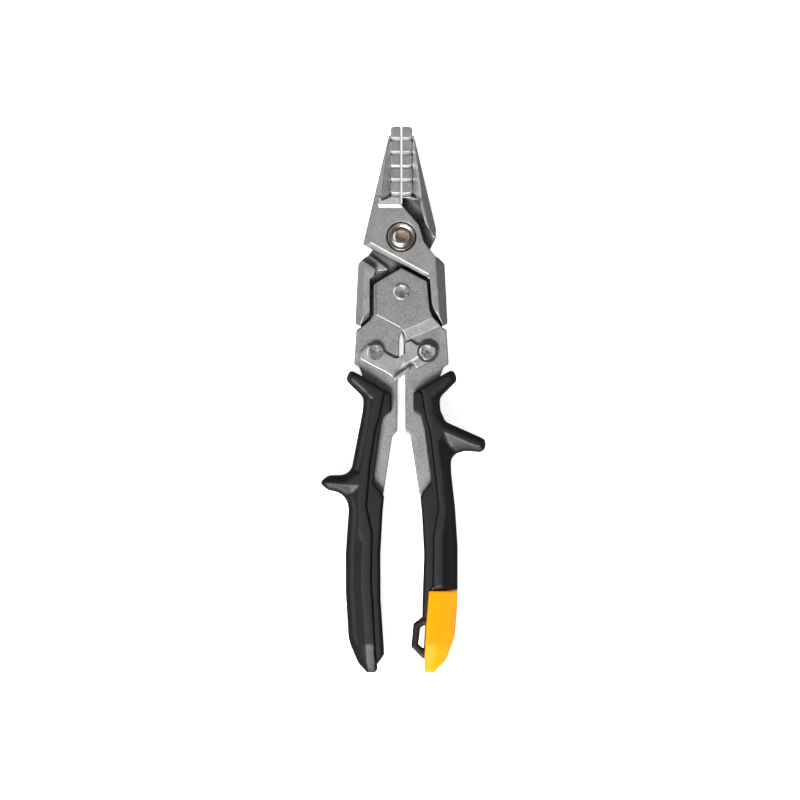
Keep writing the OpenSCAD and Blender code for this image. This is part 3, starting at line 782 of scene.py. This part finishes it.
def raised(name, outline, over):
    """A low raised shape that follows the surface of the piece it is on."""
    loop = stepped(outline, ARROW_STEP)
    lo, hi = loop.min(0), loop.max(0)
    gx, gy = np.meshgrid(np.arange(lo[0], hi[0], ARROW_STEP), np.arange(lo[1], hi[1], ARROW_STEP))
    field = np.stack([gx.ravel(), gy.ravel()], 1)
    field = field[inside(field, loop) & (to_loop(field, loop)[0] > 2 * ARROW_EDGE)]
    points = np.concatenate([loop, loop + inward(loop) * ARROW_EDGE, field])
    plan, tris, _ = triangulated(points, [(0, loop)])
    starts = [Vector(((x + AXIS_X) * MM, y * MM, 2 * TOP * MM)) for x, y in plan]
    hits = [over.ray_cast(start, Vector((0, 0, -1)))[:2] for start in starts]
    face = float(np.median([spot.z for hit, spot in hits if hit]))
    verts = []
    for start, (hit, spot), edge in zip(starts, hits, to_loop(plan, loop)[0]):
        on_face = hit and abs(spot.z - face) < FACE_REACH * MM
        lift = ARROW_HEIGHT * min(1.0, edge / ARROW_EDGE) - ARROW_SUNK
        verts.append((start.x, start.y, (spot.z if on_face else face) + lift * MM))
    obj = new_object(name, verts, tris)
    thick = obj.modifiers.new("thick", "SOLIDIFY")
    thick.thickness = ARROW_HEIGHT * MM
    thick.offset = -1
    return obj


arrow = raised("latch_arrow", ARROW, nodes["latch_plate"])
arrow.data.materials.append(arrow_painted_highlight_steel)
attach(arrow, "latch")


# ---------------------------------------------------------------- floor

# the floor in metres: where it begins to curve up, the radius of the curve, and the top of its wall
FLOOR_R = 5.5
CURVE_R = 2
WALL_TOP = 7.0
FLOOR_TURNS = 96
# just below what the object rests on
FLOOR_Z = -0.00005


def sweep_floor():
    """A round floor that curves up into a wall, so that every view has the same pale ground."""
    profile = [(1.0, 0.0), (3.0, 0.0), (FLOOR_R, 0.0)]
    curve = [math.radians(a) for a in range(9, 91, 9)]
    profile += [(FLOOR_R + CURVE_R * math.sin(a), CURVE_R - CURVE_R * math.cos(a)) for a in curve]
    profile.append((FLOOR_R + CURVE_R, WALL_TOP))
    verts = [(0.0, 0.0, 0.0)]
    for r, h in profile:
        for k in range(FLOOR_TURNS):
            t = 2 * math.pi * k / FLOOR_TURNS
            verts.append((r * math.cos(t), r * math.sin(t), h))
    faces = [(0, 1 + k, 1 + (k + 1) % FLOOR_TURNS) for k in range(FLOOR_TURNS)]
    for ring in range(len(profile) - 1):
        a = 1 + ring * FLOOR_TURNS
        b = a + FLOOR_TURNS
        for k in range(FLOOR_TURNS):
            after = (k + 1) % FLOOR_TURNS
            faces.append((a + k, b + k, b + after, a + after))
    obj = new_object("floor", verts, faces)
    obj.data.shade_smooth()
    obj.location = (0, 0, FLOOR_Z)
    return obj


floor = sweep_floor()
pale, _, pale_bsdf = base_material("pale_floor", (0.8, 0.8, 0.8), 0.0, 0.9)
pale_bsdf.inputs["Emission Color"].default_value = (1, 1, 1, 1)
pale_bsdf.inputs["Emission Strength"].default_value = 0.74
floor.data.materials.append(pale)
floor.visible_glossy = False
floor.visible_shadow = False


# ---------------------------------------------------------------- light

# the world is dim, and a little dimmer well below the horizon
WORLD_BELOW = 0.1
WORLD_ABOVE = 0.12
world = bpy.data.worlds.new("studio")
scene.world = world
world.use_nodes = True
world_tree = world.node_tree
direction = world_tree.nodes.new("ShaderNodeTexCoord")
axes = world_tree.nodes.new("ShaderNodeSeparateXYZ")
world_tree.links.new(direction.outputs["Generated"], axes.inputs["Vector"])
strength = mapped(world_tree, axes.outputs["Z"], -0.42, -0.26, WORLD_BELOW, WORLD_ABOVE)
world_tree.links.new(strength, world_tree.nodes["Background"].inputs["Strength"])
world_tree.nodes["Background"].inputs["Color"].default_value = (1, 1, 1, 1)


def area(name, at, size, watts):
    """A soft box that points at the object."""
    light = bpy.data.lights.new(name, "AREA")
    light.shape = "RECTANGLE"
    light.size, light.size_y = size
    light.energy = watts
    o = bpy.data.objects.new(name, light)
    o.location = at
    o.rotation_euler = (-Vector(at)).to_track_quat("-Z", "Y").to_euler()
    o.visible_camera = False
    scene.collection.objects.link(o)


area("main", (-0.33, -0.83, 1.2), (0.7, 0.55), 30)
area("heel", (-0.15, -1.2, 0.05), (1.0, 0.7), 12)
area("left", (-1.0, 0.1, 0.1), (1.2, 0.2), 2.6)
area("right", (1.0, 0.2, 0.1), (1.2, 0.16), 0.5)


# ---------------------------------------------------------------- camera

# the width that the picture shows at the object and the camera's distance, in metres
FIELD = 0.3725
DISTANCE = 4.0
# the width of the camera's sensor, in millimetres
SENSOR = 36
camera_data = bpy.data.cameras.new("camera")
camera = bpy.data.objects.new("camera", camera_data)
scene.collection.objects.link(camera)
camera_data.sensor_width = SENSOR
camera_data.lens = SENSOR * DISTANCE / FIELD
camera.location = (-0.0016, -0.0001, DISTANCE + 0.015)
camera.rotation_euler = (0, 0, 0)
camera_data.clip_start = 0.01
camera_data.clip_end = 50
camera_data.dof.use_dof = False
scene.camera = camera
scene.view_settings.view_transform = "Standard"
